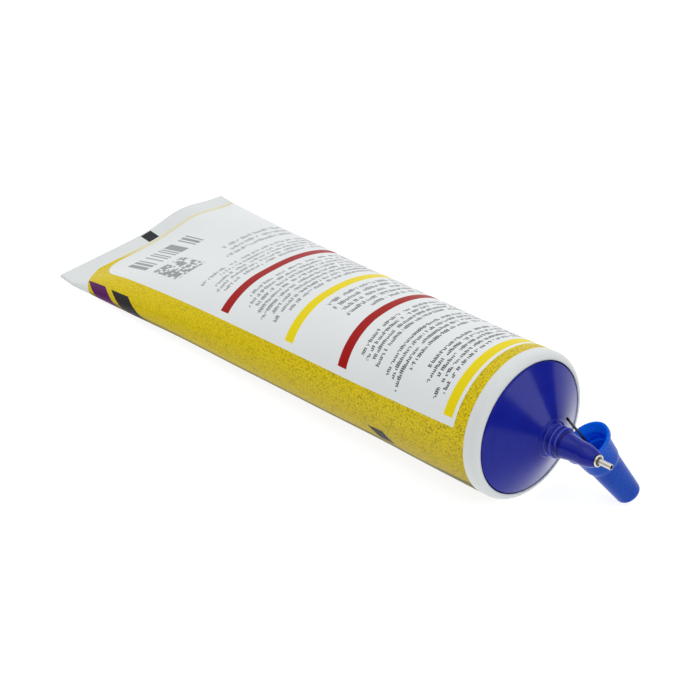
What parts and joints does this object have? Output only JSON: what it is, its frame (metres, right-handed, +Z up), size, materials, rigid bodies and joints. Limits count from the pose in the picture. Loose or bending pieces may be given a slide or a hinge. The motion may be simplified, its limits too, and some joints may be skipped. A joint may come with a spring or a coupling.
{
  "type": "tube of glue",
  "caption": "Squeeze tube of glue with a cone shoulder, threaded neck and needle-tipped nozzle, flat welded tail, and a tapered pin cap lying off beside the nozzle.",
  "frame": {"origin": "on the floor under the middle of the object's box", "axes": "+X from the welded tail towards the nozzle, +Y to the side where the cap lies, +Z up"},
  "size_m": [0.1824, 0.0622, 0.0397],
  "materials": {
    "printed_sleeve": "white satin film with a printed design",
    "head_plastic": "glossy indigo blue moulding",
    "cap_plastic": "slightly translucent blue moulding",
    "tip_metal": "polished plated metal",
    "pin_steel": "drawn steel wire",
    "glue": "clear thick adhesive"
  },
  "bodies": {
    "tube": {"sleeve": "printed_sleeve", "shoulder_nozzle": "head_plastic", "tip_ferrule": "tip_metal", "needle_tube": "tip_metal", "glue_fill": "glue"},
    "cap": {"cap_shell": "cap_plastic", "cap_pin": "pin_steel"}
  },
  "joints": [
    {"name": "cap_lift_off", "type": "slide", "parent": "tube", "child": "cap", "axis": [0, 0.866, 0.5], "range_m": [0, 0.06]}
  ]
}
